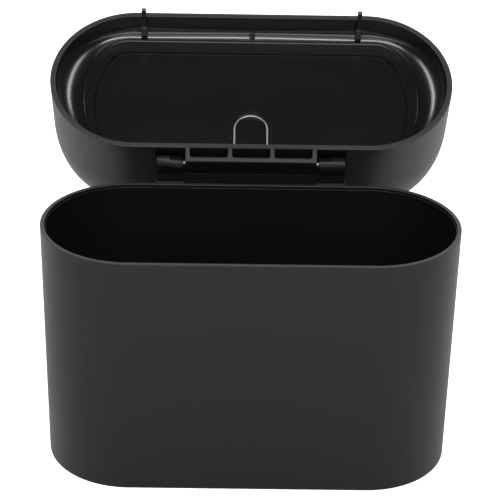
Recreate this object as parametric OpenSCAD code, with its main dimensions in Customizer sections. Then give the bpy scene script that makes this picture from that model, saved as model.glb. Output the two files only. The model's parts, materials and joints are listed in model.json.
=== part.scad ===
// Dog waste bin with an obround footprint and a deep lid, shown with the lid open on its stop.
// Millimetres. +Z is up, +X is to the right seen from the front, the hinge is at the back (+Y).
// The origin is the middle of the flat underside. Lid pieces are drawn with the lid closed and
// then turned open about the hinge axis by lid_piece().

/* [Bin body] */
// Width over the rim
body_w = 240; // [200:1:320]
// Depth over the rim
body_d = 102.6; // [90:0.1:130]
// Height to the rim
body_h = 148.8; // [100:0.1:240]
// How far the foot is set in from the rim on each side
body_draft = 2.8; // [0.5:0.1:5]
// Thickness of the rim's flat top
rim_t = 2.6; // [2:0.1:4]
// Wall thickness below the small step inside the rim
wall_t = 3.0; // [2.7:0.1:4.5]
// Height of the thin rim above that step
rim_step_h = 1.8; // [1:0.1:4]
// Floor thickness
floor_t = 4; // [2:0.1:6]
// Radius between wall and floor inside
floor_r = 7; // [2:0.5:15]
// Radius of the outer bottom edge
foot_r = 1.2; // [0.5:0.1:3]

/* [Lid] */
// Height of the lid over its rim
lid_h = 72; // [60:0.5:90]
// Height of the straight part of the lid wall
lid_straight_h = 33.6; // [28:0.1:40]
// How far the straight part leans in over its height
lid_draft = 0.65; // [0.2:0.05:1.5]
// How far the rounded shoulder comes in
shoulder_w = 16.1; // [8:0.1:25]
// Lid shell thickness beside the liner
shell_t = 2.0; // [1.6:0.1:3]
// Lid shell thickness above the liner's seat
dome_t = 2.5; // [2.4:0.1:4]
// Gap between the closed lid and the bin's rim
rim_gap = 0.2; // [0.1:0.05:1]
// How far the lid opens, in degrees
lid_open = 152.3; // [100:0.1:152.3]

/* [Lid liner] */
// Wall thickness of the liner
liner_t = 1.25; // [1:0.05:2]
// Depth of the liner's face below the lid's rim
liner_depth = 15.6; // [12:0.1:20]
// Thickness of the liner's face
liner_face_t = 2.2; // [1.6:0.1:3]
// Radius between the liner's wall and face
liner_r = 3; // [1:0.1:5]
// Height of the raised bead around the face
bead_h = 0.8; // [0.4:0.1:1.5]
// Width of the raised bead
bead_w = 1.5; // [1:0.1:3]

/* [Compartment cover] */
// Distance of the cover's ends from the lid's ends
cover_side = 26; // [20:0.5:40]
// Distance of the cover's back edge from the lid's back face
cover_back = 8; // [8:0.5:12]
// Distance of the cover's front edge from the lid's front face
cover_fore = 17.6; // [13:0.1:26]
// How far the cover's ends bow out
cover_end = 20; // [12:1:30]
// Thickness of the cover
cover_t = 2; // [1.6:0.1:3]
// Step from the liner's face down to the cover
cover_step = 1.4; // [0.5:0.1:2.5]
// Width of the ledge under the cover's edge
ledge_w = 3.5; // [2.5:0.1:6]

/* [Pull bail] */
// Wire diameter
wire_d = 1.1; // [0.8:0.1:1.6]
// Radius of the bail's bow, to the wire's centre
bail_r = 9.8; // [7:0.1:12]
// Length of the bail from its pivot to the bow's centre
bail_leg = 12.7; // [8:0.1:22]
// Distance of the bail's pivot from the lid's back face
bail_back = 15.6; // [14:0.1:20]
// Room around the wire in its recess
recess_gap = 1.6; // [1:0.1:3]
// Length of each bent foot outside the bow's width
bail_foot = 3.2; // [2.5:0.1:5]

/* [Hinge] */
// Hinge pin diameter
pin_d = 3; // [2.5:0.1:4]
// Hinge axis behind the body's back face
axis_back = 2.27; // [2.2:0.01:2.6]
// Hinge axis above the body's rim
axis_up = 12.02; // [11.8:0.01:13]
// Radius of the lid's hinge barrel
barrel_r = 6.3; // [5:0.01:6.5]
// Width of the lid's hinge block
block_w = 76.6; // [60:0.1:90]
// Thickness of the block's ribs and back wall
block_rib = 2.5; // [1.6:0.1:3.5]
// Depth of the block's three pockets
pocket_depth = 9; // [4:0.1:9]
// Radius of the bracket's knuckle
knuckle_r = 4.5; // [4:0.1:4.8]
// Width of each hinge bracket
bracket_w = 15.4; // [12:0.1:20]
// Thickness of the bracket's post from front to back
post_t = 5.25; // [4:0.05:5.3]
// Length of the tongue that holds the bracket
tongue_l = 19; // [12:1:28]

/* [Locating fingers] */
// Distance of each finger inside the start of the lid's rounded end
finger_in = 3.4; // [1.5:0.1:12]
// Width of a finger
finger_w = 2.8; // [2:0.1:4]
// Thickness of a finger from front to back
finger_t = 2; // [1.4:0.1:3]
// How far a finger reaches past the lid's rim
finger_out = 11; // [6:0.5:14]
// Distance of a finger's outer face from the lid's front face
finger_fore = 5.6; // [5.2:0.1:9]

/* [Hidden] */
$fn = 96;

// clearances
fit_gap = 0.05;         // a snug fit between pieces that do not move
run_gap = 0.06;         // radial room of a turning fit
cover_gap = 0.25;       // around the cover's edge
side_gap = 1.5;         // between the hinge block and a bracket
swing_gap = 0.5;        // between a bracket and the lid's relief for it
stop_gap = 0.05;        // between the bracket's post and the lid at full opening
past = 40;              // how far a cut or a clipping shape runs past the part

// body
end_r = body_d / 2;                       // radius of the rounded ends
mid = body_w / 2 - end_r;                 // half length of the straight part
foot_end_r = end_r - body_draft;
function body_side(z) = foot_end_r + body_draft * z / body_h;

// lid, drawn closed: "in" is measured from the lid's back face, "up" from the lid's rim
lid_z = body_h + rim_gap;
lid_lean = lid_draft / lid_straight_h;
shoulder_c = end_r - lid_draft - shoulder_w;
shoulder_h = lid_h - lid_straight_h;
seat_up = liner_depth + liner_face_t;     // where the liner's face rests against the shell

// hinge
axis_y = end_r + axis_back;
axis_z = body_h + axis_up;
axis_rise = axis_up - rim_gap;            // hinge axis above the lid's rim
block_back = axis_back + barrel_r;
block_lift = 1.9;                         // how far the block's outer edge clears the rim
block_edge_r = 0.6;
bracket_x = block_w / 2 + side_gap;       // inner side of a bracket
knuckle_x = bracket_x + bracket_w / 2;    // where the knuckle's flat ends
flat_up = 3.4;                            // height of that flat over the axis
post_fore = 0.57;                         // post's front face before the axis
post_front = axis_y - post_fore;
post_back = post_front + post_t;
boss_drop = 0.4;                          // boss's top under the body's rim
foot_z = body_h - boss_drop;              // bracket's foot on the body's boss
foot_recess = 1;
foot_recess_h = 1.6;
tongue_t = 3.4;
tongue_side = 2.5;
tongue_in = 0.8;                          // tongue's front behind the post's front
tongue_y = post_front + tongue_in;
tongue_end = 0.5;                         // air under the tongue
pin_reach = 4;                            // pin's end past the middle of the knuckle
pin_half = knuckle_x + pin_reach;
boss_side = 0.8;
boss_wall = 1.9;                          // boss behind the post's back face
boss_back = post_back + boss_wall;
boss_under = 11.4;                        // boss under the tongue, with its sloped underside
boss_h = tongue_l + boss_under;
relief_in = knuckle_r + swing_gap - axis_back;
relief_low = 1.5;                         // height of the strip that closes the relief
relief_side = 0.7;
relief_wall = 2;
relief_root = 0.3;                        // how far the wall behind a relief starts inside the lid wall
relief_step = 0.2;                        // where that wall starts to slope, under the relief
// the relief's upper edge is where the post's back comes to rest
post_offset = post_back - axis_y;
stop_y = lid_lean * (axis_rise + knuckle_r);
relief_top = axis_rise + (post_offset + stop_gap - (axis_back + stop_y) * -cos(lid_open)) / sin(lid_open);

// cover and bail
cover_half_w = body_w / 2 - cover_side;
cover_front = body_d - cover_fore;
cover_up = liner_depth + cover_step;
ledge_up = cover_up + cover_t;
ledge_t = 1.4;
frame_w = 1.5;                            // frame around the liner's opening
bead_back = 6;
bead_fore = 8.6;                          // bead's front edge from the lid's front face
bead_side = 18;                           // bead's ends from the lid's ends
bead_front = body_d - bead_fore;
bead_half_w = body_w / 2 - bead_side;
bead_end = 27;
wire_r = wire_d / 2;
bail_lift = 0.1;                          // air under the resting bail
recess_deep = 1.95;
pad_t = 1.6;
pad_side = 3.2;
bail_up = cover_up + recess_deep - bail_lift - wire_r;
bail_bend_r = 1.4;

// fingers
finger_x = mid - finger_in;
finger_y = finger_fore + finger_t / 2 - end_r;
collar_w = 3.4;
collar_t = 3;
collar_h = 10.3;
neck_w = 2.2;
tip_h = 4;
tenon_t = 1.4;

// ---- helpers ----

// points of an arc from angle a0 to a1
function arc(cx, cy, rx, ry, a0, a1, n) =
    [for (i = [0 : n]) let (a = a0 + (a1 - a0) * i / n) [cx + rx * cos(a), cy + ry * sin(a)]];

// sweeps a half profile, drawn at x >= 0, around the obround footprint
module obround() {
    translate([-mid, 0, 0]) rotate([90, 0, 90]) linear_extrude(height = 2 * mid) {
        children();
        mirror([1, 0]) children();
    }
    for (side = [-1, 1])
        translate([side * mid, 0, 0]) rotate([0, 0, side * -90]) rotate_extrude(angle = 180) children();
}

// a flat outline with straight front and back edges and bowed ends, "in" from the lid's back face
module bowed_outline(half_w, back, front, end_w) {
    c = end_r - (back + front) / 2;
    half_d = (front - back) / 2;
    polygon(concat(arc(half_w - end_w, c, end_w, half_d, -90, 90, 20),
                   arc(end_w - half_w, c, end_w, half_d, 90, 270, 20)));
}

// a slab between two heights over the lid's rim
module slab(low, high) {
    translate([0, 0, lid_z + low]) linear_extrude(height = high - low) children();
}

// an outline in a plane across the lid, x is "in" from the back face and y is up from the rim
module across(x, w) {
    translate([x, end_r, lid_z]) rotate([90, 0, 0]) rotate([0, -90, 0])
        translate([0, 0, -w]) linear_extrude(height = w) children();
}

module lid_piece() {
    translate([0, axis_y, axis_z]) rotate([-lid_open, 0, 0]) translate([0, -axis_y, -axis_z]) children();
}

module along_x(x0, x1, y, z, r) {
    translate([x0, y, z]) rotate([0, 90, 0]) cylinder(h = x1 - x0, r = r);
}

module block(x0, x1, y0, y1, z0, z1) {
    translate([x0, y0, z0]) cube([x1 - x0, y1 - y0, z1 - z0]);
}

// ---- bin body ----

module body_profile() {
    inner_top = end_r - rim_t;
    inner_low = foot_end_r - wall_t;
    step_z = body_h - rim_step_h;
    difference() {
        polygon(concat([[0, 0]], arc(foot_end_r - foot_r, foot_r, foot_r, foot_r, -90, 0, 4),
                       [[end_r, body_h], [0, body_h]]));
        polygon(concat([[-1, floor_t]],
                       arc(inner_low - floor_r, floor_t + floor_r, floor_r, floor_r, -90, 0, 8),
                       [[body_side(step_z) - wall_t, step_z], [inner_top, step_z],
                        [inner_top, body_h + 1], [-1, body_h + 1]]));
    }
}

// boss behind the back wall that takes one bracket's tongue, on the right
module bracket_boss() {
    x0 = bracket_x - boss_side;
    x1 = bracket_x + bracket_w + boss_side;
    y0 = body_side(foot_z - boss_h) - wall_t / 2;
    difference() {
        translate([x0, 0, 0]) rotate([90, 0, 90]) linear_extrude(height = x1 - x0)
            polygon([[y0, foot_z - boss_h], [boss_back, foot_z - boss_h + boss_back - y0],
                     [boss_back, foot_z], [y0, foot_z]]);
        block(bracket_x + tongue_side - fit_gap, bracket_x + bracket_w - tongue_side + fit_gap,
              tongue_y - fit_gap, tongue_y + tongue_t + fit_gap, foot_z - tongue_l - tongue_end, foot_z + 1);
    }
}

module bin_body() {
    color([0.16, 0.16, 0.165]) {
        obround() body_profile();
        bracket_boss();
        mirror([1, 0, 0]) bracket_boss();
    }
}

// ---- hinge ----

module hinge_bracket() {
    x0 = bracket_x;
    x1 = bracket_x + bracket_w;
    color([0.1, 0.1, 0.105]) difference() {
        union() {
            block(x0, x1, post_front, post_back, foot_z, axis_z);
            along_x(x0, x1, axis_y, axis_z, knuckle_r);
            block(x0 + tongue_side, x1 - tongue_side, tongue_y, tongue_y + tongue_t,
                  foot_z - tongue_l, foot_z + 1);
        }
        // the knuckle's inner half has a flat top
        block(x0 - 1, knuckle_x, axis_y - past, axis_y + past, axis_z + flat_up, axis_z + past);
        // shadow gap at the foot
        block(x0 - 1, x1 + 1, post_front - 1, post_front + foot_recess, foot_z - 1, foot_z + foot_recess_h);
        along_x(x0 - 1, pin_half, axis_y, axis_z, pin_d / 2);
    }
}

module right_hinge_bracket() {
    hinge_bracket();
}

module left_hinge_bracket() {
    mirror([1, 0, 0]) hinge_bracket();
}

module hinge_pin() {
    color([0.72, 0.72, 0.74]) along_x(-pin_half, pin_half, axis_y, axis_z, pin_d / 2);
}

// ---- lid ----

module lid_outer_profile() {
    polygon(concat([[0, 0], [end_r, 0]],
                   arc(shoulder_c, lid_straight_h, shoulder_w, shoulder_h, 0, 90, 14),
                   [[0, lid_h]]));
}

module lid_inner_profile() {
    side = end_r - shell_t;
    polygon([[-1, -1], [side + lid_lean, -1], [side - lid_lean * seat_up, seat_up], [-1, seat_up]]);
    polygon(concat([[-1, seat_up - 1], [end_r - dome_t - lid_lean * seat_up, seat_up - 1]],
                   arc(shoulder_c, lid_straight_h, shoulder_w - dome_t, shoulder_h - dome_t, 0, 90, 12),
                   [[-1, lid_h - dome_t]]));
}

// the hinge block's outline across the lid: a sloped underside, an upright back and a round barrel
module block_outline() {
    union() {
        polygon(concat([[shell_t, 0], [0, 0]],
                       arc(block_edge_r - block_back, block_lift + block_edge_r,
                           block_edge_r, block_edge_r, -100, -180, 4),
                       [[-block_back, axis_rise], [shell_t, axis_rise]]));
        intersection() {
            translate([-axis_back, axis_rise]) circle(r = barrel_r);
            translate([-past, 0]) square([past + shell_t, axis_rise + past]);
        }
        translate([-axis_back, axis_rise]) square([axis_back + shell_t, barrel_r]);
    }
}

// one pocket in the block's underside, with rounded outer corners
module block_pocket(x, w) {
    pocket_r = 2;
    translate([0, 0, lid_z - 1]) linear_extrude(height = 1 + pocket_depth) {
        y1 = end_r + block_back - block_rib;
        polygon(concat([[x, end_r], [x + w, end_r]],
                       arc(x + w - pocket_r, y1 - pocket_r, pocket_r, pocket_r, 0, 90, 4),
                       arc(x + pocket_r, y1 - pocket_r, pocket_r, pocket_r, 90, 180, 4)));
    }
}

// the relief that lets one bracket into the lid's back wall, on the right
module bracket_relief() {
    across(bracket_x - relief_side, bracket_w + 2 * relief_side)
        translate([-past, relief_low]) square([past + relief_in, relief_top - relief_low]);
}

module relief_back() {
    deep = relief_in + relief_wall;
    rim = shell_t + liner_t;
    root = lid_lean * (relief_top + relief_wall) + relief_root;
    across(bracket_x - relief_side - relief_wall, bracket_w + 2 * (relief_side + relief_wall))
        polygon([[root, 0], [rim, 0], [rim, relief_low - relief_step],
                 [deep, relief_low + deep - rim], [deep, relief_top + relief_wall],
                 [root, relief_top + relief_wall]]);
}

module lid_shell() {
    pocket_w = (block_w - 4 * block_rib) / 3;
    color([0.13, 0.13, 0.135]) lid_piece() difference() {
        union() {
            translate([0, 0, lid_z]) obround() difference() {
                lid_outer_profile();
                lid_inner_profile();
            }
            across(-block_w / 2, block_w) block_outline();
            relief_back();
            mirror([1, 0, 0]) relief_back();
        }
        for (i = [0 : 2])
            block_pocket(-block_w / 2 + block_rib + i * (pocket_w + block_rib), pocket_w);
        bracket_relief();
        mirror([1, 0, 0]) bracket_relief();
        along_x(-block_w, block_w, axis_y, axis_z, pin_d / 2 + run_gap);
    }
}

module liner_profile() {
    outer = end_r - shell_t - fit_gap;
    inner = outer - liner_t;
    low = inner - lid_lean * liner_depth;
    polygon(concat([[0, seat_up], [outer - lid_lean * seat_up, seat_up], [outer, 0], [inner, 0]],
                   arc(low - liner_r, liner_depth - liner_r, liner_r, liner_r, 0, 90, 6),
                   [[0, liner_depth]]));
}

module finger_seat(x) {
    w = collar_w + 2 * fit_gap;
    t = collar_t + 2 * fit_gap;
    block(x - w / 2, x + w / 2, finger_y - t / 2, finger_y + t / 2, lid_z + 1, lid_z + liner_depth);
    block(x - neck_w / 2 - fit_gap, x + neck_w / 2 + fit_gap,
          finger_y - tenon_t / 2 - fit_gap, finger_y + tenon_t / 2 + fit_gap,
          lid_z + liner_depth - 1, lid_z + seat_up + 1);
}

module lid_liner() {
    relief_w = bracket_w + 2 * (relief_side + relief_wall + fit_gap);
    relief_x = bracket_x - relief_side - relief_wall - fit_gap;
    color([0.1, 0.1, 0.105]) lid_piece() difference() {
        union() {
            translate([0, 0, lid_z]) obround() liner_profile();
            slab(liner_depth - bead_h, liner_depth) difference() {
                bowed_outline(bead_half_w, bead_back, bead_front, bead_end);
                bowed_outline(bead_half_w - bead_w, bead_back + bead_w, bead_front - bead_w,
                              bead_end - bead_w);
            }
            // frame behind the opening, which carries the cover
            slab(liner_depth, ledge_up + ledge_t)
                bowed_outline(cover_half_w + frame_w, cover_back - frame_w, cover_front + frame_w,
                              cover_end + frame_w);
        }
        slab(liner_depth - 1, ledge_up)
            bowed_outline(cover_half_w, cover_back, cover_front, cover_end);
        slab(liner_depth - 1, ledge_up + ledge_t + 1)
            bowed_outline(cover_half_w - ledge_w, cover_back + ledge_w, cover_front - ledge_w,
                          cover_end - ledge_w);
        for (x = [relief_x, -relief_x - relief_w])
            across(x, relief_w) translate([-1, -1])
                square([1 + relief_in + relief_wall + fit_gap, 1 + relief_top + relief_wall + fit_gap]);
        finger_seat(finger_x);
        finger_seat(-finger_x);
    }
}

// ---- compartment cover with the bail's recess ----

module recess_outline(grow) {
    r = bail_r + wire_r + recess_gap + grow;
    c = end_r - bail_back - bail_leg;
    back = end_r - bail_back + wire_r + recess_gap + grow;
    translate([0, c]) circle(r = r);
    translate([-r, c]) square([2 * r, back - c]);
}

module compartment_cover() {
    foot_x = bail_r + bail_foot;
    color([0.12, 0.12, 0.125]) lid_piece() difference() {
        union() {
            slab(cover_up, ledge_up - fit_gap)
                bowed_outline(cover_half_w - cover_gap, cover_back + cover_gap, cover_front - cover_gap,
                              cover_end - cover_gap);
            // thicker under the recess, where the pad still passes the liner's ledge
            slab(cover_up, ledge_up + pad_t) intersection() {
                recess_outline(pad_side - recess_gap);
                bowed_outline(cover_half_w - ledge_w - cover_gap, cover_back + ledge_w + cover_gap,
                              cover_front - ledge_w - cover_gap, cover_end - ledge_w);
            }
        }
        slab(cover_up - 1, cover_up + recess_deep) recess_outline(0);
        along_x(-foot_x - run_gap, foot_x + run_gap, end_r - bail_back, lid_z + bail_up, wire_r + run_gap);
    }
}

// one leg of the bail with its bend and foot, on the right
module bail_side(y, z) {
    translate([bail_r, y - bail_bend_r, z]) rotate([90, 0, 0])
        cylinder(h = bail_leg - bail_bend_r, r = wire_r);
    translate([bail_r + bail_bend_r, y - bail_bend_r, z]) rotate([0, 0, 90]) rotate_extrude(angle = 90)
        translate([bail_bend_r, 0]) circle(r = wire_r);
    along_x(bail_r + bail_bend_r, bail_r + bail_foot, y, z, wire_r);
}

module pull_bail() {
    y = end_r - bail_back;
    z = lid_z + bail_up;
    color([0.8, 0.78, 0.76]) lid_piece() {
        translate([0, y - bail_leg, z]) rotate([0, 0, 180]) rotate_extrude(angle = 180)
            translate([bail_r, 0]) circle(r = wire_r);
        bail_side(y, z);
        mirror([1, 0, 0]) bail_side(y, z);
    }
}

// ---- locating fingers ----

module finger(x) {
    y = finger_y;
    foot = lid_z + liner_depth;
    collar_top = foot - collar_h;
    tip = lid_z - finger_out;
    color([0.11, 0.11, 0.115]) lid_piece() union() {
        block(x - collar_w / 2, x + collar_w / 2, y - collar_t / 2, y + collar_t / 2, collar_top, foot);
        block(x - neck_w / 2, x + neck_w / 2, y - tenon_t / 2, y + tenon_t / 2, tip + 1, lid_z + seat_up);
        block(x - finger_w / 2, x + finger_w / 2, y - finger_t / 2, y + finger_t / 2, tip, tip + tip_h);
    }
}

module left_finger() {
    finger(-finger_x);
}

module right_finger() {
    finger(finger_x);
}

bin_body();
left_hinge_bracket();
right_hinge_bracket();
hinge_pin();
lid_shell();
lid_liner();
compartment_cover();
pull_bail();
left_finger();
right_finger();
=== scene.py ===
"""Dog waste bin with a deep hinged lid, open on its stop.

Every piece is a closed surface worked out with numpy. Sizes are millimetres in the code and are
turned to metres when a mesh is made. Lid pieces are drawn with the lid closed, where "inset" is
measured from the lid's back face and "up" from the lid's rim, and are then turned open.
"""
import json
import math

import bmesh
import bpy
import numpy as np
from mathutils import Matrix, Vector


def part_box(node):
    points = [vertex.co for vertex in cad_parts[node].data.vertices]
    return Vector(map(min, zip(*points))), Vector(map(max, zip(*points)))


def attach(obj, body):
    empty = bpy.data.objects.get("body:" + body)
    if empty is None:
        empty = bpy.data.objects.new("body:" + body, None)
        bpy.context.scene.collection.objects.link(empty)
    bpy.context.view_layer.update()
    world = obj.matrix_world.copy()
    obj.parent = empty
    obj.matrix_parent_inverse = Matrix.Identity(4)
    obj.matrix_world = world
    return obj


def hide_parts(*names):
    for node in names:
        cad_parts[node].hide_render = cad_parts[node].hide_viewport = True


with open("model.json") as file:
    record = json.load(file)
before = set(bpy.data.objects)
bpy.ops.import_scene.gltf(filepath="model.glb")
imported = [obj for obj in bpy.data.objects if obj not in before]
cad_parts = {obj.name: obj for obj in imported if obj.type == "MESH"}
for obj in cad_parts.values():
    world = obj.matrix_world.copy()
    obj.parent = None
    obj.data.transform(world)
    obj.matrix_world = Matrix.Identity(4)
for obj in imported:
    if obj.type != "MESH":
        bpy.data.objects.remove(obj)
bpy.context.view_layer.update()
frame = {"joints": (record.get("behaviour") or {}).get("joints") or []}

# ---------------------------------------------------------------- sizes, in millimetres
MM = 0.001
HINGE = next(j for j in frame["joints"] if j["name"] == "lid_hinge")
LID_OPEN = math.radians(HINGE["range_deg"][1])
AXIS_Y, AXIS_Z = HINGE["pos_m"][1] / MM, HINGE["pos_m"][2] / MM
BODY_LOW, BODY_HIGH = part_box("bin_body")
BODY_W = (BODY_HIGH.x - BODY_LOW.x) / MM
BODY_H = BODY_HIGH.z / MM
END_R = -BODY_LOW.y / MM                 # radius of the rounded ends at the rim
MID = BODY_W / 2 - END_R                 # half length of the straight sides
DRAFT = 2.8                              # how far the wall comes in from rim to foot
RIM_T, WALL_T, FLOOR_T = 2.6, 3.0, 4.0
RIM_STEP, FLOOR_R, FOOT_R = 1.8, 7.0, 1.2

LID_Z = BODY_H + 0.2                     # the closed lid's rim
LID_H, LID_STRAIGHT, LID_DRAFT = 72.0, 33.6, 0.65
SHOULDER_W = 16.1
SHELL_T, DOME_T = 2.0, 2.5
LEAN = LID_DRAFT / LID_STRAIGHT
SPARE = 5.0                              # how far a cutter reaches past what it cuts

LINER_T, LINER_DEPTH, FACE_T = 1.25, 15.6, 2.2
LINER_FIT, FILLET_MAX, WALL_START = 0.05, 14.3, 0.4
SEAT_UP = LINER_DEPTH + FACE_T
BEAD = dict(half_w=102.0, back=6.0, front=94.0, end=27.0)
COVER = dict(half_w=94.0, back=8.0, front=85.0, end=20.0)
COVER_UP, COVER_T, COVER_GAP, LEDGE = 17.0, 2.0, 0.25, 3.5
LEDGE_UP = COVER_UP + COVER_T
GATE_X, GATE_INSET = 0.6, 96.6
EJECTOR_R, EJECTOR_LIFT = 3.7, 0.1
EJECTOR_MARKS = ((-75.5, 75), (0, 75.5), (75.5, 75), (-73, 18), (73, 18))    # (x, inset)

BLOCK_W, BLOCK_BACK, BLOCK_LIFT, BLOCK_RIB = 76.6, 8.57, 1.9, 2.5
BARREL_R, POCKET_DEPTH, POCKET_R = 6.3, 9.0, 2.0
BRACKET_X, BRACKET_W = BLOCK_W / 2 + 1.5, 15.4
KNUCKLE_R, FLAT_UP = 4.5, 3.4
POST_LEAD, POST_T = 0.57, 5.25
POST_FRONT = AXIS_Y - POST_LEAD
POST_BACK = POST_FRONT + POST_T
FOOT_Z = BODY_H - 0.4
TONGUE = dict(side=2.5, front=1.2, back=4.2, down=19, up=1)
BOSS_H, BOSS_LIP, BOSS_SIDE = 30.4, 1.9, 0.8
RELIEF_IN, RELIEF_WALL, RELIEF_LOW, RELIEF_TOP, RELIEF_SIDE = 2.73, 2.0, 1.5, 17.3, 0.7
RELIEF_RAMP = 0.6
LINER_BULGE_TOP = 17.0
PIN_R, PIN_PAST = 1.5, 3.9
PIN_END = BRACKET_X + BRACKET_W / 2 + PIN_PAST

BAIL_R, WIRE_R, BAIL_LEG, BAIL_INSET, BAIL_FOOT = 9.8, 0.55, 12.7, 15.6, 3.2
RECESS_DEEP, RECESS_GAP, BAIL_LIFT = 1.95, 1.6, 0.1
BAIL_UP = COVER_UP + RECESS_DEEP - BAIL_LIFT - WIRE_R
FINGER_X, FINGER_INSET, FINGER_OUT = 65.3, 96.0, 11.0
SLOT = dict(half_w=1.9, front=1.7, back=1.9, low=5, high=16.6)


# ---------------------------------------------------------------- outlines and profiles
def arc(cx, cy, rx, ry, start, stop, steps):
    """Points on an ellipse: centre plus (rx cos a, ry sin a) for angles a from start to stop."""
    a = np.radians(np.linspace(start, stop, steps))
    return np.column_stack([cx + rx * np.cos(a), cy + ry * np.sin(a)])


def rounded(points, radii, steps=7):
    """A path whose corners are replaced by arcs: each arc touches both legs at radius / tan(half angle)
    from the corner, and its points turn evenly about the arc's centre."""
    points = np.asarray(points, float)
    out = [points[:1]]
    for before, corner, after, r in zip(points[:-2], points[1:-1], points[2:], radii):
        if r <= 0:
            out.append(corner[None])
            continue
        a = (before - corner) / np.linalg.norm(before - corner)
        b = (after - corner) / np.linalg.norm(after - corner)
        half = math.acos(np.clip(a @ b, -1, 1)) / 2
        centre = corner + (a + b) / np.linalg.norm(a + b) * r / math.sin(half)
        start = corner + a * r / math.tan(half) - centre
        stop = corner + b * r / math.tan(half) - centre
        turn = math.atan2(start[0] * stop[1] - start[1] * stop[0], start @ stop)
        t = np.linspace(0, turn, steps)
        out.append(centre + np.column_stack([start[0] * np.cos(t) - start[1] * np.sin(t),
                                             start[0] * np.sin(t) + start[1] * np.cos(t)]))
    out.append(points[-1:])
    return np.vstack(out)


END_STEPS = 72
SIDE_X = np.linspace(1, -1, 41)


def outline(half_len, rx, ry, y0=0.0):
    """A closed outline with straight sides from -half_len to half_len and half-elliptic ends."""
    right = arc(half_len, y0, rx, ry, -90, 90, END_STEPS)
    left = arc(-half_len, y0, rx, ry, 90, 270, END_STEPS)
    back = np.column_stack([half_len * SIDE_X, np.full(SIDE_X.size, y0 + ry)])[1:-1]
    front = np.column_stack([-half_len * SIDE_X, np.full(SIDE_X.size, y0 - ry)])[1:-1]
    return np.vstack([right, back, left, front])


def obround(r):
    """The footprint's outline at distance r from its middle line."""
    return outline(MID, r, r)


def bowed(half_w, back, front, end, grow=0.0):
    """An outline across the lid with bowed ends, grown outwards by grow."""
    return outline(half_w - end, end + grow, (front - back) / 2 + grow, END_R - (back + front) / 2)


def rings_of(profile):
    """Sweeps a profile of (r, z) around the footprint: each ring is obround(r) at height z."""
    return np.stack([np.column_stack([obround(r), np.full(obround(r).shape[0], z)]) for r, z in profile])


def ring(flat, z):
    """A flat outline lifted to height z."""
    return np.column_stack([flat, np.full(len(flat), z)])


# ---------------------------------------------------------------- meshes
def make(name, vertices, faces):
    """A mesh object from arrays in millimetres, with doubles merged and normals pointing out."""
    mesh = bpy.data.meshes.new(name)
    mesh.from_pydata((np.asarray(vertices) * MM).tolist(), [], [list(f) for f in faces])
    tidy = bmesh.new()
    tidy.from_mesh(mesh)
    bmesh.ops.remove_doubles(tidy, verts=tidy.verts, dist=1e-6)
    bmesh.ops.dissolve_degenerate(tidy, edges=tidy.edges, dist=1e-7)
    bmesh.ops.recalc_face_normals(tidy, faces=tidy.faces)
    tidy.to_mesh(mesh)
    tidy.free()
    piece = bpy.data.objects.new(name, mesh)
    bpy.context.scene.collection.objects.link(piece)
    return piece


def grid_faces(rows, columns, close_rows):
    """Quads between neighbouring rings of a grid whose columns run round; optionally rows too."""
    i = np.arange(rows if close_rows else rows - 1)[:, None]
    j = np.arange(columns)[None]
    a, b = i * columns + j, i * columns + (j + 1) % columns
    i = (i + 1) % rows
    c, d = i * columns + (j + 1) % columns, i * columns + j
    return np.stack(np.broadcast_arrays(a, b, c, d), -1).reshape(-1, 4)


def loft(name, rings, closed=False):
    """A surface over rings of points, each joined to the next by quads; a ring that is all one point
    closes an end, and closed joins the last ring to the first."""
    rings = np.asarray(rings)
    rows, columns = rings.shape[:2]
    return make(name, rings.reshape(-1, 3), grid_faces(rows, columns, closed))


def prism(name, flat, low, high, plane="xy"):
    """A flat outline swept straight: along z for plane xy, along x for plane yz."""
    flat = np.asarray(flat, float)
    n = len(flat)
    span = np.repeat([low, high], n)[:, None]
    flat = np.vstack([flat, flat])
    vertices = np.hstack([flat, span]) if plane == "xy" else np.hstack([span, flat])
    k = np.arange(n)
    sides = np.column_stack([k, (k + 1) % n, (k + 1) % n + n, k + n])
    return make(name, vertices, [k[::-1].tolist(), (k + n).tolist()] + sides.tolist())


def box_piece(name, x0, x1, y0, y1, z0, z1):
    return prism(name, [(x0, y0), (x1, y0), (x1, y1), (x0, y1)], z0, z1)


def rod(name, x0, x1, y, z, r, steps=48):
    """A round bar along x."""
    return prism(name, arc(y, z, r, r, 0, 360, steps + 1)[:-1], x0, x1, plane="yz")


def settle(piece):
    """Replaces a piece's mesh with the result of its modifiers."""
    bpy.context.view_layer.update()
    done = bpy.data.meshes.new_from_object(piece.evaluated_get(bpy.context.evaluated_depsgraph_get()))
    piece.modifiers.clear()
    piece.data = done
    return piece


def close_up(piece):
    """Merges points closer than a thousandth of a millimetre and drops faces left with an open edge,
    which are the flat slivers that a cut can leave: a closed surface loses nothing."""
    whole = bmesh.new()
    whole.from_mesh(piece.data)
    bmesh.ops.remove_doubles(whole, verts=whole.verts, dist=0.001 * MM)
    bmesh.ops.dissolve_degenerate(whole, dist=0.01 * MM, edges=whole.edges)
    bmesh.ops.triangulate(whole, faces=[face for face in whole.faces if len(face.verts) > 4])
    loose = [face for face in whole.faces if any(len(edge.link_faces) < 2 for edge in face.edges)]
    bmesh.ops.delete(whole, geom=loose, context="FACES")
    whole.to_mesh(piece.data)
    whole.free()
    return piece


def combine(piece, other, operation):
    """Cuts other from piece, or joins it, and removes other."""
    step = piece.modifiers.new(operation, "BOOLEAN")
    step.operation = operation
    step.solver = "EXACT"
    step.object = other
    settle(piece)
    bpy.data.objects.remove(other)
    return piece


def soften(piece, width, angle=35):
    """Rounds the sharp edges a little, as a moulding's are."""
    step = piece.modifiers.new("edges", "BEVEL")
    step.width = width * MM
    step.segments = 2
    step.limit_method = "ANGLE"
    step.angle_limit = math.radians(angle)
    return settle(piece)


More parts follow.
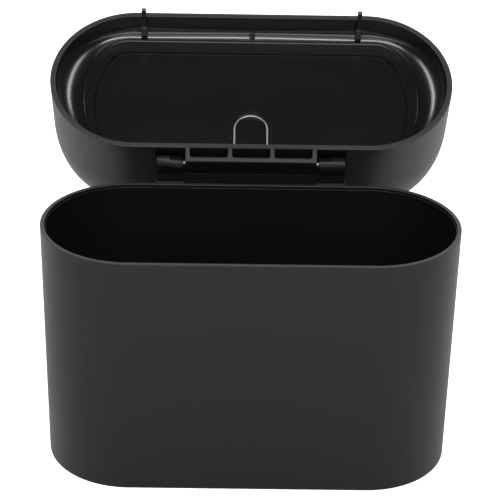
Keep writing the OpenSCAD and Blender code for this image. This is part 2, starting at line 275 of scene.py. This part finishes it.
def smooth(piece, angle=32):
    """Smooth shading with sharp creases; big faces keep their own normal next to small bevels. The
    mesh is closed up here, once its edges are rounded, because a bevel needs the faces still whole."""
    close_up(piece)
    piece.data.shade_smooth()
    piece.data.set_sharp_from_angle(angle=math.radians(angle))
    step = piece.modifiers.new("normals", "WEIGHTED_NORMAL")
    step.keep_sharp = True
    return settle(piece)


def mark_faces(piece, chosen):
    """Puts the second material on the faces whose middle (in mm) and normal satisfy chosen."""
    mesh = piece.data
    middle, normal = (np.empty(len(mesh.polygons) * 3) for _ in range(2))
    mesh.polygons.foreach_get("center", middle)
    mesh.polygons.foreach_get("normal", normal)
    mask = chosen(middle.reshape(-1, 3) / MM, normal.reshape(-1, 3))
    mesh.polygons.foreach_set("material_index", mask.astype(np.int32))
    return piece


def mirrored(piece, name):
    """The piece's twin on the other side of x = 0, with its faces turned to point outwards again."""
    twin = piece.copy()
    twin.data = piece.data.copy()
    twin.name = twin.data.name = name
    bpy.context.scene.collection.objects.link(twin)
    twin.data.transform(Matrix.Scale(-1, 4, (1, 0, 0)))
    twin.data.flip_normals()
    return twin


def join(piece, *others):
    """Adds other closed solids to a piece's mesh."""
    whole = bmesh.new()
    whole.from_mesh(piece.data)
    for other in others:
        whole.from_mesh(other.data)
    whole.to_mesh(piece.data)
    whole.free()
    for other in others:
        bpy.data.objects.remove(other)
    return piece


def open_lid(piece):
    """Turns a piece drawn with the lid closed to the open rest pose, about the hinge axis."""
    axis = Vector((0, AXIS_Y * MM, AXIS_Z * MM))
    piece.data.transform(Matrix.Translation(axis) @ Matrix.Rotation(-LID_OPEN, 4, "X")
                         @ Matrix.Translation(-axis))
    return piece


# ---------------------------------------------------------------- materials
def noise_group():
    """Moulded grain: fine noise for the height, slow noise for tone and gloss, and paler worn edges
    where the surface is convex, broken up by the fine noise."""
    group = bpy.data.node_groups.new("moulded grain", "ShaderNodeTree")
    face = group.interface
    face.new_socket("Grain size", in_out="INPUT", socket_type="NodeSocketFloat").default_value = 900
    face.new_socket("Colour", in_out="INPUT", socket_type="NodeSocketColor")
    face.new_socket("Roughness", in_out="INPUT", socket_type="NodeSocketFloat").default_value = 0.5
    face.new_socket("Depth", in_out="INPUT", socket_type="NodeSocketFloat").default_value = 0.1
    face.new_socket("Wear", in_out="INPUT", socket_type="NodeSocketFloat").default_value = 0.4
    face.new_socket("Worn colour", in_out="INPUT", socket_type="NodeSocketColor")
    for name, kind in (("Colour", "NodeSocketColor"), ("Roughness", "NodeSocketFloat"),
                       ("Normal", "NodeSocketVector")):
        face.new_socket(name, in_out="OUTPUT", socket_type=kind)
    nodes, links = group.nodes, group.links
    given, out = nodes.new("NodeGroupInput"), nodes.new("NodeGroupOutput")
    place = nodes.new("ShaderNodeTexCoord")
    grain, slow = nodes.new("ShaderNodeTexNoise"), nodes.new("ShaderNodeTexNoise")
    slow.inputs["Scale"].default_value = 14
    slow.inputs["Detail"].default_value = 5
    grain.inputs["Detail"].default_value = 3
    links.new(place.outputs["Object"], grain.inputs["Vector"])
    links.new(place.outputs["Object"], slow.inputs["Vector"])
    links.new(given.outputs["Grain size"], grain.inputs["Scale"])
    tone = nodes.new("ShaderNodeMapRange")
    tone.inputs["To Min"].default_value, tone.inputs["To Max"].default_value = 0.88, 1.12
    links.new(slow.outputs["Fac"], tone.inputs["Value"])
    colour = nodes.new("ShaderNodeVectorMath")
    colour.operation = "SCALE"
    links.new(given.outputs["Colour"], colour.inputs[0])
    links.new(tone.outputs["Result"], colour.inputs["Scale"])
    shape, edge = nodes.new("ShaderNodeNewGeometry"), nodes.new("ShaderNodeMapRange")
    edge.inputs["From Min"].default_value, edge.inputs["From Max"].default_value = 0.53, 0.68
    links.new(shape.outputs["Pointiness"], edge.inputs["Value"])
    patchy, worn = nodes.new("ShaderNodeMath"), nodes.new("ShaderNodeMath")
    patchy.operation = worn.operation = "MULTIPLY"
    links.new(edge.outputs["Result"], patchy.inputs[0])
    links.new(grain.outputs["Fac"], patchy.inputs[1])
    links.new(patchy.outputs["Value"], worn.inputs[0])
    links.new(given.outputs["Wear"], worn.inputs[1])
    paler = nodes.new("ShaderNodeMix")
    paler.data_type = "RGBA"                 # its sockets 0, 6 and 7 are the factor and the two colours
    links.new(worn.outputs["Value"], paler.inputs[0])
    links.new(colour.outputs["Vector"], paler.inputs[6])
    links.new(given.outputs["Worn colour"], paler.inputs[7])
    links.new(paler.outputs[2], out.inputs["Colour"])
    gloss = nodes.new("ShaderNodeMapRange")
    gloss.inputs["To Min"].default_value, gloss.inputs["To Max"].default_value = -0.05, 0.05
    links.new(slow.outputs["Fac"], gloss.inputs["Value"])
    total = nodes.new("ShaderNodeMath")
    links.new(given.outputs["Roughness"], total.inputs[0])
    links.new(gloss.outputs["Result"], total.inputs[1])
    links.new(total.outputs["Value"], out.inputs["Roughness"])
    bump = nodes.new("ShaderNodeBump")
    bump.inputs["Distance"].default_value = 0.0001
    links.new(given.outputs["Depth"], bump.inputs["Strength"])
    links.new(grain.outputs["Fac"], bump.inputs["Height"])
    links.new(bump.outputs["Normal"], out.inputs["Normal"])
    return group


GRAIN = noise_group()


def moulded(name, colour, roughness, grain=900.0, depth=0.12, specular=0.5, metallic=0.0, wear=0.5):
    """A material whose colour, gloss and relief come from the grain group; worn edges are lighter, at
    twice the colour plus 0.03."""
    material = bpy.data.materials.new(name)
    material.use_nodes = True
    nodes, links = material.node_tree.nodes, material.node_tree.links
    shader = nodes["Principled BSDF"]
    shader.inputs["Specular IOR Level"].default_value = specular
    shader.inputs["Metallic"].default_value = metallic
    group = nodes.new("ShaderNodeGroup")
    group.node_tree = GRAIN
    group.inputs["Grain size"].default_value = grain
    group.inputs["Colour"].default_value = (*colour, 1)
    group.inputs["Roughness"].default_value = roughness
    group.inputs["Depth"].default_value = depth
    group.inputs["Wear"].default_value = wear
    group.inputs["Worn colour"].default_value = (*(min(1, 2 * c + 0.03) for c in colour), 1)
    links.new(group.outputs["Colour"], shader.inputs["Base Color"])
    links.new(group.outputs["Roughness"], shader.inputs["Roughness"])
    links.new(group.outputs["Normal"], shader.inputs["Normal"])
    return material


BODY_PLASTIC = moulded("body plastic", (0.004, 0.004, 0.0042), 0.43, specular=0.3)
LID_PLASTIC = moulded("lid plastic", (0.004, 0.004, 0.0042), 0.43, specular=0.36)
LINER_PLASTIC = moulded("liner plastic", (0.005, 0.005, 0.0052), 0.24, grain=650, depth=0.07,
                        specular=0.9, wear=0.0)
# Rim plastic: rougher than the body and about eight times paler. The paleness is painted light, standing in
# for the light that the rims and finger sockets catch from above.
RIM_PAINTED_LIGHT_PLASTIC = moulded("rim plastic with painted light", (0.03, 0.03, 0.0306), 0.55, grain=700, specular=0.28, wear=0.3)
HINGE_PLASTIC = moulded("hinge plastic", (0.006, 0.006, 0.0063), 0.42, specular=0.25, wear=0.0)
STEEL = moulded("drawn steel", (0.45, 0.43, 0.41), 0.38, grain=2400, depth=0.2, metallic=1.0, wear=0.0)


def finish(piece, node, body, slot, *materials):
    """Gives a piece its materials, hides the CAD node it stands for and hangs it on the empty of what it
    rides on.
    """
    marked = np.empty(len(piece.data.polygons), np.int32)
    piece.data.polygons.foreach_get("material_index", marked)
    piece.data.materials.clear()             # this also sets every face back to the first material
    for material in materials:
        piece.data.materials.append(material)
    piece.data.polygons.foreach_set("material_index", marked)
    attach(piece, body)
    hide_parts(node)
    return piece


# ---------------------------------------------------------------- bin body
def side_r(z):
    """The body's outer radius at height z: the rim's, less the draft times the share of height below."""
    return END_R - DRAFT * (1 - z / BODY_H)


def bin_body():
    """A profile of outer wall, rim, inner wall and floor swept round the footprint, with two bosses."""
    foot = side_r(0)
    step = BODY_H - RIM_STEP
    profile = rounded([(0, 0), (foot, 0), (END_R, BODY_H), (END_R - RIM_T, BODY_H), (END_R - RIM_T, step),
                       (side_r(step) - WALL_T, step), (foot - WALL_T, FLOOR_T), (0, FLOOR_T)],
                      [FOOT_R, 0.45, 0.45, 0.1, 0.2, FLOOR_R])
    piece = loft("bin_body_moulding", rings_of(profile))
    low = FOOT_Z - BOSS_H
    y0 = side_r(low) - WALL_T / 2
    back = POST_BACK + BOSS_LIP
    boss = prism("boss", [(y0, low), (back, low + back - y0), (back, FOOT_Z), (y0, FOOT_Z)],
                 BRACKET_X - BOSS_SIDE, BRACKET_X + BRACKET_W + BOSS_SIDE, plane="yz")
    soften(boss, 0.4)
    join(piece, mirrored(boss, "other_boss"), boss)
    # Painted light: the rim's upward faces get the paler rim plastic.
    mark_faces(piece, lambda middle, normal: (normal[:, 2] > 0.3) & (middle[:, 2] > BODY_H - 0.6))
    return finish(smooth(piece), "bin_body", "bin", "body_plastic", BODY_PLASTIC, RIM_PAINTED_LIGHT_PLASTIC)


bin_body()


# ---------------------------------------------------------------- lid shell
def relief_mask(x, grow):
    """1 beside the brackets and 0 elsewhere: the distance inside the nearer edge, over the ramp's
    width, plus a half, held between 0 and 1."""
    near, far = BRACKET_X - RELIEF_SIDE - grow, BRACKET_X + BRACKET_W + RELIEF_SIDE + grow
    return np.clip((np.minimum(np.abs(x) - near, far - np.abs(x))) / RELIEF_RAMP + 0.5, 0, 1)


def bulge(rings, wall, top):
    """Pushes the back wall in behind the reliefs. The wall's surface lies at inset wall; above the
    relief's lower edge its inset grows at 45 degrees by up to the relief's depth, and y is held under
    END_R minus that inset, up to the height top."""
    x, y, up = rings[..., 0], rings[..., 1], rings[..., 2] - LID_Z
    push = np.clip(up - RELIEF_LOW, 0, RELIEF_IN + RELIEF_WALL - SHELL_T)
    mask = relief_mask(x, RELIEF_WALL) * (up < top) * (push > 0) * (y > 0)
    limit = END_R - wall - push
    rings[..., 1] = np.where(y > limit, y + (limit - y) * mask, y)
    return rings


def block_outline():
    """The block's section in (y, z): sloped underside, upright back, round barrel, flat top."""
    back = END_R + BLOCK_BACK
    axis = (AXIS_Y, AXIS_Z)
    barrel = arc(*axis, BARREL_R, BARREL_R, 0, 90, 16)
    inside = END_R - SHELL_T + 0.4
    return np.vstack([[(inside, LID_Z), (END_R, LID_Z), (back - 0.5, LID_Z + BLOCK_LIFT - 0.1),
                       (back, LID_Z + BLOCK_LIFT + 0.6)], barrel, [(inside, AXIS_Z + BARREL_R)]])


def hinge_block():
    """The block between the brackets, with three round-cornered pockets cut up into its underside."""
    piece = prism("block", block_outline(), -BLOCK_W / 2, BLOCK_W / 2, plane="yz")
    pocket_w = (BLOCK_W - 4 * BLOCK_RIB) / 3
    for i in range(3):
        x = -BLOCK_W / 2 + BLOCK_RIB + i * (pocket_w + BLOCK_RIB)
        far = END_R + BLOCK_BACK - BLOCK_RIB
        flat = np.vstack([[(x, END_R), (x + pocket_w, END_R)],
                          arc(x + pocket_w - POCKET_R, far - POCKET_R, POCKET_R, POCKET_R, 0, 90, 8),
                          arc(x + POCKET_R, far - POCKET_R, POCKET_R, POCKET_R, 90, 180, 8)])
        combine(piece, prism("pocket", flat, LID_Z - SPARE, LID_Z + POCKET_DEPTH), "DIFFERENCE")
    return soften(piece, 0.3)


def lid_shell():
    """A profile of inner dome, inner wall, rim, outer wall and elliptic shoulder swept round the
    footprint; the wall goes in behind the brackets, the reliefs are cut, and the block is added."""
    side = END_R - SHELL_T
    shoulder, rise = END_R - LID_DRAFT - SHOULDER_W, LID_H - LID_STRAIGHT
    outer = arc(shoulder, LID_STRAIGHT, SHOULDER_W, rise, 0, 90, 40)
    inner = arc(shoulder, LID_STRAIGHT, SHOULDER_W - DOME_T, rise - DOME_T, 90, 0, 30)
    heights = np.linspace(SEAT_UP, 0.3, 24)
    wall = np.column_stack([side - LEAN * heights, heights])
    rim = [(side, 0), (END_R - 0.35, 0), (END_R - 0.1, 0.1), (END_R, 0.35)]
    profile = np.vstack([[(0, LID_H - DOME_T)], inner, [(END_R - DOME_T - LEAN * SEAT_UP, SEAT_UP)],
                         wall, rim, outer, [(0, LID_H)]])
    rings = rings_of(profile + [0, LID_Z])
    count = 1 + len(inner) + 1 + len(wall)
    rings[:count] = bulge(rings[:count], SHELL_T, RELIEF_TOP + RELIEF_WALL)
    piece = loft("lid_outer_shell", rings)
    for x in (BRACKET_X - RELIEF_SIDE, -BRACKET_X - BRACKET_W - RELIEF_SIDE):
        cutter = box_piece("relief", x, x + BRACKET_W + 2 * RELIEF_SIDE, END_R - RELIEF_IN,
                           END_R + SPARE, LID_Z + RELIEF_LOW, LID_Z + RELIEF_TOP)
        combine(piece, cutter, "DIFFERENCE")
    join(piece, hinge_block())
    # Painted light: the rim faces, which face up once the lid is open, get the paler rim plastic.
    mark_faces(piece, lambda middle, normal: (normal[:, 2] < -0.85) & (middle[:, 2] < LID_Z + 2.6))
    open_lid(piece)
    return finish(smooth(piece), "lid_shell", "lid", "lid_plastic", LID_PLASTIC, RIM_PAINTED_LIGHT_PLASTIC)


lid_shell()


# ---------------------------------------------------------------- lid liner
def gate_button():
    """The round stub of the moulding gate on the front fillet: a disc with a sloped edge and a dimple."""
    circle = arc(0, 0, 1, 1, 0, 360, 33)[:-1]
    place = [GATE_X, END_R - GATE_INSET]
    profile = [(0, 15.4), (1.75, 15.4), (1.75, 13.1), (1.55, 12.95), (1.2, 12.95), (1.0, 13.2), (0, 13.2)]
    return loft("gate", [ring(circle * r + place, LID_Z + up) for r, up in profile])


def lid_liner():
    """Rings from the liner's outer wall over its rim, down the inner wall, round a fillet whose radius
    is the local distance from wall to bead, over the bead and its groove, and round the cover's seat.
    Fillet ring t: wall foot * cos t + bead * (1 - cos t), at depth - radius * (1 - sin t)."""
    outer = END_R - SHELL_T - LINER_FIT
    inner = outer - LINER_T
    base, out = obround(0), obround(1) - obround(0)
    bead = bowed(**BEAD)
    radius = np.clip(np.linalg.norm(obround(inner - 0.2) - bead, axis=1), 0, FILLET_MAX)
    wall_end = LINER_DEPTH - radius

    def at(up):
        """The inner wall's points at heights up, one for each column."""
        return base + out * (inner - LEAN * up)[:, None]

    skin = [ring(obround(r - LEAN * up), LID_Z + up) for r, up in
            [(outer, up) for up in (SEAT_UP, 9, 6, 4, 3, 2, 1.5, 0.2)] + [(outer - 0.1, 0.05)]]
    walls = [ring(obround(r), LID_Z + up) for r, up in
             [(inner + 0.3, 0), (inner + 0.08, 0.1), (inner, WALL_START)]]
    for k in np.linspace(0, 1, 14)[1:]:
        climb = (wall_end - WALL_START) * k
        walls.append(np.column_stack([at(WALL_START + climb), LID_Z + WALL_START + climb]))
    foot = at(wall_end)
    for t in np.radians(np.linspace(0, 90, 19))[1:]:
        flat = foot * math.cos(t) + bead * (1 - math.cos(t))
        walls.append(np.column_stack([flat, LID_Z + wall_end + radius * math.sin(t)]))
    walls += [ring(bowed(**BEAD, grow=-g), LID_Z + up) for g, up in
              [(0.25, LINER_DEPTH), (0.45, 15.1), (0.7, 14.85), (1.05, 14.8), (1.4, 14.9), (1.65, 15.2),
               (1.85, LINER_DEPTH), (2.2, LINER_DEPTH)]]
    walls += [ring(bowed(**COVER, grow=g), LID_Z + up) for g, up in
              [(0.5, LINER_DEPTH), (0.1, LINER_DEPTH + 0.06), (0, LINER_DEPTH + 0.35), (0, LEDGE_UP),
               (-LEDGE, LEDGE_UP), (-LEDGE, LEDGE_UP + 1.4), (1.5, LEDGE_UP + 1.4), (1.5, SEAT_UP)]]
    skin = bulge(np.stack(skin), SHELL_T + LINER_FIT, LINER_BULGE_TOP)
    walls = bulge(np.stack(walls), SHELL_T + LINER_FIT + LINER_T, LINER_BULGE_TOP)
    piece = loft("lid_inner_liner", np.concatenate([skin, walls]), closed=True)
    for x in (FINGER_X, -FINGER_X):
        y = END_R - FINGER_INSET
        cutter = box_piece("slot", x - SLOT["half_w"], x + SLOT["half_w"], y - SLOT["front"],
                           y + SLOT["back"], LID_Z + SLOT["low"], LID_Z + SLOT["high"])
        combine(piece, cutter, "DIFFERENCE")
    join(piece, gate_button())
    # Painted light: the liner's rim faces, which face up once the lid is open, get the paler rim plastic.
    mark_faces(piece, lambda middle, normal: (normal[:, 2] < -0.85) & (middle[:, 2] < LID_Z + 0.3))
    open_lid(piece)
    return finish(smooth(piece), "lid_liner", "lid", "liner_plastic", LINER_PLASTIC, RIM_PAINTED_LIGHT_PLASTIC)


lid_liner()


# ---------------------------------------------------------------- compartment cover
def recess_flat(grow):
    """The bail's recess: a half circle round the bow and straight sides back to the pivot."""
    r = BAIL_R + WIRE_R + RECESS_GAP + grow
    bow = END_R - BAIL_INSET - BAIL_LEG
    back = END_R - BAIL_INSET + WIRE_R + RECESS_GAP + grow
    return np.vstack([arc(0, bow, r, r, 180, 360, 40), arc(r - 1, back - 1, 1, 1, 0, 90, 6),
                      arc(1 - r, back - 1, 1, 1, 90, 180, 6)])


def ejector_mark(x, inset):
    """The faint round mark an ejector leaves: a slightly raised disc with a sloped edge."""
    y, r = END_R - inset, EJECTOR_R
    top, low = LID_Z + COVER_UP - EJECTOR_LIFT, LID_Z + COVER_UP + 0.3
    circle = arc(0, 0, 1, 1, 0, 360, 49)[:-1]
    return loft("mark", [ring(circle * k + [x, y], z) for k, z in
                         [(0, low), (r, low), (r, top + 0.08), (r - 0.25, top), (0, top)]])


def compartment_cover():
    """A bowed plate with a softened edge: a pad is added behind the bail's recess, the recess is cut,
    and the ejector marks are added."""
    top, low = LID_Z + COVER_UP, LID_Z + LEDGE_UP - 0.05
    rings = [ring(bowed(**COVER, grow=g), z) for g, z in
             [(-COVER_GAP - 0.3, top), (-COVER_GAP - 0.08, top + 0.08), (-COVER_GAP, top + 0.3),
              (-COVER_GAP, low)]]
    centre = outline(COVER["half_w"] - COVER["end"], 0, 0, END_R - (COVER["back"] + COVER["front"]) / 2)
    piece = loft("compartment_cover_plate", [ring(centre, top)] + rings + [ring(centre, low)])
    pad_back = COVER["back"] + LEDGE + COVER_GAP
    pad = recess_flat(1.6)
    pad[:, 1] = np.minimum(pad[:, 1], END_R - pad_back)
    combine(piece, prism("pad", pad, top + 1, LID_Z + LEDGE_UP + 1.6), "UNION")
    combine(piece, prism("recess", recess_flat(0), top - 3, top + RECESS_DEEP), "DIFFERENCE")
    soften(piece, 0.25)
    for x, inset in EJECTOR_MARKS:
        join(piece, ejector_mark(x, inset))
    open_lid(piece)
    return finish(smooth(piece), "compartment_cover", "lid", "liner_plastic", LINER_PLASTIC)


compartment_cover()


# ---------------------------------------------------------------- pull bail
def tube(name, path, r, steps=16):
    """A round wire along a flat path: rings of r (normal cos a + z sin a) around each point."""
    path = np.asarray(path, float)
    along = np.gradient(path, axis=0)
    along /= np.linalg.norm(along, axis=1)[:, None]
    side = np.column_stack([-along[:, 1], along[:, 0], np.zeros(len(path))])
    a = np.linspace(0, 2 * np.pi, steps, endpoint=False)
    rings = (path[:, None] + r * (np.cos(a)[None, :, None] * side[:, None]
                                  + np.sin(a)[None, :, None] * np.array([0, 0, 1.0])))
    rings = np.concatenate([np.repeat(path[:1, None], steps, 1), rings, np.repeat(path[-1:, None], steps, 1)])
    return loft(name, rings)


def pull_bail():
    """A wire bent in a half circle round the bow, with straight legs and feet turned out at the pivot."""
    y = END_R - BAIL_INSET
    bow = y - BAIL_LEG
    bend = 1.4
    half = np.vstack([[(BAIL_R + BAIL_FOOT, y), (BAIL_R + bend + 0.2, y)],
                      arc(BAIL_R + bend, y - bend, bend, bend, 90, 180, 10),
                      [(BAIL_R, y - bend - 4), (BAIL_R, bow + 3)]])
    flat = np.vstack([half, arc(0, bow, BAIL_R, BAIL_R, 0, -180, 48), (half * [-1, 1])[::-1]])
    path = np.column_stack([flat, np.full(len(flat), LID_Z + BAIL_UP)])
    piece = open_lid(tube("pull_bail_wire", path, WIRE_R))
    return finish(smooth(piece, 60), "pull_bail", "bail", "steel", STEEL)


pull_bail()


# ---------------------------------------------------------------- hinge brackets and pin
def right_bracket():
    """A post and round knuckle swept along x, with a flat cut on its inner half and a tongue below."""
    knuckle = arc(AXIS_Y, AXIS_Z, KNUCKLE_R, KNUCKLE_R, 0, 262.7, 64)
    section = np.vstack([[(POST_BACK, FOOT_Z), (POST_BACK, AXIS_Z)], knuckle,
                         [(POST_FRONT, FOOT_Z + 1.6), (POST_FRONT + 1, FOOT_Z + 1.6),
                          (POST_FRONT + 1, FOOT_Z)]])
    x0, x1 = BRACKET_X, BRACKET_X + BRACKET_W
    piece = prism("right_bracket_block", section, x0, x1, plane="yz")
    notch = box_piece("notch", x0 - 1, (x0 + x1) / 2, AXIS_Y - 2 * SPARE, AXIS_Y + 2 * SPARE,
                      AXIS_Z + FLAT_UP, AXIS_Z + 2 * SPARE)
    combine(piece, notch, "DIFFERENCE")
    soften(piece, 0.25)
    tongue = box_piece("tongue", x0 + TONGUE["side"], x1 - TONGUE["side"], POST_FRONT + TONGUE["front"],
                       POST_FRONT + TONGUE["back"], FOOT_Z - TONGUE["down"], FOOT_Z + TONGUE["up"])
    join(piece, tongue)
    return smooth(piece)


right = right_bracket()
left = mirrored(right, "left_bracket_block")
finish(right, "right_hinge_bracket", "bin", "body_plastic", HINGE_PLASTIC)
finish(left, "left_hinge_bracket", "bin", "body_plastic", HINGE_PLASTIC)
pin = rod("hinge_pin_rod", -PIN_END, PIN_END, AXIS_Y, AXIS_Z, PIN_R)
finish(smooth(pin), "hinge_pin", "bin", "steel", STEEL)


# ---------------------------------------------------------------- locating fingers
def rounded_rect(w, t, r=0.4):
    """An outline w by t whose corners are quarter circles of radius r."""
    return np.vstack([arc(sx * (w / 2 - r), sy * (t / 2 - r), r, r, a, a + 90, 4)
                      for sx, sy, a in ((1, 1, 0), (-1, 1, 90), (-1, -1, 180), (1, -1, 270))])


def finger(name, x):
    """A slender finger: rounded sections joined from the wider tip, down a thin neck, to a flared socket."""
    y = END_R - FINGER_INSET
    sections = [(0, 0, -FINGER_OUT), (2.2, 1.2, -FINGER_OUT), (2.8, 2, -FINGER_OUT + 0.6), (2.8, 2, -7.2),
                (2.2, 1.4, -6.8), (2.2, 1.4, 5.2), (2.9, 2.4, 5.4), (3.1, 2.6, 6), (3.6, 3.2, 12.5),
                (2.8, 2.4, 13), (2.8, 2.4, LINER_DEPTH), (0, 0, LINER_DEPTH)]
    rings = [ring(rounded_rect(max(w, 0.9), max(t, 0.9)) * (w > 0) + [x, y], LID_Z + up)
             for w, t, up in sections]
    piece = loft(name, rings)
    # Painted light: the flared socket and the downward faces get the paler rim plastic, standing in for the
    # light and highlights they catch.
    mark_faces(piece, lambda middle, normal: ((middle[:, 2] > LID_Z + 5.3) & (middle[:, 2] < LID_Z + 12.6))
               | (normal[:, 2] < -0.85))
    return smooth(open_lid(piece))


for side, x in (("left", -FINGER_X), ("right", FINGER_X)):
    piece = finger(side + "_finger_rod", x)
    finish(piece, side + "_finger", "lid", "liner_plastic", LINER_PLASTIC, RIM_PAINTED_LIGHT_PLASTIC)


# ---------------------------------------------------------------- floor, light and camera
FLOOR_HALF = 2.6                         # these places and sizes are metres
FLOOR_GLOW = 0.8
SHADE_CARD_HALF, SHADE_CARD_FROM, SHADE_CARD_TO, SHADE_CARD_Z = 0.085, 0.004, 0.12, 0.002


def sheet(name, material_name, half, y0, y1, z, tone, roughness):
    """A flat sheet from -half to half in x and y0 to y1 in y, with a matt grey material."""
    mesh = bpy.data.meshes.new(name)
    corners = [(-half, y0, z), (half, y0, z), (half, y1, z), (-half, y1, z)]
    mesh.from_pydata(corners, [], [(0, 1, 2, 3)])
    piece = bpy.data.objects.new(name, mesh)
    bpy.context.scene.collection.objects.link(piece)
    material = bpy.data.materials.new(material_name)
    material.use_nodes = True
    shader = material.node_tree.nodes["Principled BSDF"]
    shader.inputs["Base Color"].default_value = (tone, tone, tone, 1)
    shader.inputs["Roughness"].default_value = roughness
    shader.inputs["Specular IOR Level"].default_value = 0.0
    mesh.materials.append(material)
    return piece


def floor():
    """A pale floor that also glows, but only where the camera sees it."""
    piece = sheet("floor", "pale floor", FLOOR_HALF, -FLOOR_HALF, FLOOR_HALF, 0, 0.9, 0.9)
    tree = piece.data.materials[0].node_tree
    nodes, links = tree.nodes, tree.links
    shader = nodes["Principled BSDF"]
    shader.inputs["Emission Color"].default_value = (1, 1, 1, 1)
    path, lift = nodes.new("ShaderNodeLightPath"), nodes.new("ShaderNodeMath")
    lift.operation = "MULTIPLY"
    lift.inputs[1].default_value = FLOOR_GLOW
    links.new(path.outputs["Is Camera Ray"], lift.inputs[0])
    links.new(lift.outputs["Value"], shader.inputs["Emission Strength"])


def softbox(name, place, target, size, power):
    """A rectangular light at place, facing target, which the camera doesn't see; metres and watts."""
    lamp = bpy.data.lights.new(name, "AREA")
    lamp.shape = "RECTANGLE"
    lamp.size, lamp.size_y = size
    lamp.energy = power
    holder = bpy.data.objects.new(name, lamp)
    holder.location = place
    holder.rotation_euler = (Vector(target) - Vector(place)).to_track_quat("-Z", "Y").to_euler()
    holder.visible_camera = False
    bpy.context.scene.collection.objects.link(holder)


def shade_card():
    """A black card under the open lid that only reflections meet, as painted shade: it stands in for shade on
    the floor behind the bin, keeps that pale floor out of the lid's back wall, and casts no shadow."""
    y0, y1 = BODY_HIGH.y + SHADE_CARD_FROM, BODY_HIGH.y + SHADE_CARD_TO
    card = sheet("shade_card", "painted shade card", SHADE_CARD_HALF, y0, y1, SHADE_CARD_Z, 0.005, 0.5)
    card.visible_camera = False
    card.visible_shadow = False


def studio():
    """A white backdrop that only the camera sees, a dim room, and six soft lights: a large one behind
    the bin, one on each side, and three in front, of which the lowest faces up."""
    world = bpy.data.worlds.new("studio")
    bpy.context.scene.world = world
    world.use_nodes = True
    nodes, links = world.node_tree.nodes, world.node_tree.links
    room = nodes["Background"]
    room.inputs["Color"].default_value = (1, 1, 1, 1)
    room.inputs["Strength"].default_value = 0.03
    seen = nodes.new("ShaderNodeBackground")
    seen.inputs["Color"].default_value = (1, 1, 1, 1)
    path, mix = nodes.new("ShaderNodeLightPath"), nodes.new("ShaderNodeMixShader")
    links.new(path.outputs["Is Camera Ray"], mix.inputs["Fac"])
    links.new(room.outputs["Background"], mix.inputs[1])
    links.new(seen.outputs["Background"], mix.inputs[2])
    links.new(mix.outputs["Shader"], nodes["World Output"].inputs["Surface"])
    softbox("back", (0, 2.4, 1.0), (0, 0, 0.4), (5.0, 2.0), 70)
    softbox("left", (-1.5, 0.5, 1.75), (0, 0, 0.18), (1.6, 0.35), 14)
    softbox("right", (1.5, 0.5, 1.75), (0, 0, 0.18), (1.6, 0.35), 14)
    softbox("front", (0, -1.3, 2.0), (0, 0, 0.1), (2.8, 0.6), 52)
    softbox("middle front", (0, -2.2, 1.2), (0, 0, 0.1), (2.8, 1.2), 12)
    softbox("low front", (0, -1.7, 0.02), (0, -1.7001, 1), (4.0, 1.8), 62)


CAMERA_PLACE = (-0.01773, -1.15708, 0.74118)
CAMERA_YAW, CAMERA_PITCH, CAMERA_ROLL = (math.radians(a) for a in (-0.8642, 27.7714, 1.1719))
CAMERA_LENS = 164.49


def camera():
    """Looks along +y turned by yaw about z and down by pitch, then rolled about its own axis."""
    turn = Matrix.Rotation(CAMERA_YAW, 3, "Z")
    ahead = turn @ Vector((0, math.cos(CAMERA_PITCH), -math.sin(CAMERA_PITCH)))
    level = turn @ Vector((1, 0, 0))
    above = level.cross(ahead)
    c, s = math.cos(CAMERA_ROLL), math.sin(CAMERA_ROLL)
    x, y = level * c + above * s, above * c - level * s
    data = bpy.data.cameras.new("camera")
    data.lens = CAMERA_LENS
    data.sensor_width = 36
    data.clip_end = 50
    holder = bpy.data.objects.new("camera", data)
    pose = Matrix((x, y, -ahead)).transposed().to_4x4()
    pose.translation = Vector(CAMERA_PLACE)
    holder.matrix_world = pose
    bpy.context.scene.collection.objects.link(holder)
    bpy.context.scene.camera = holder


floor()
shade_card()
studio()
camera()
bpy.context.scene.view_settings.view_transform = "Standard"
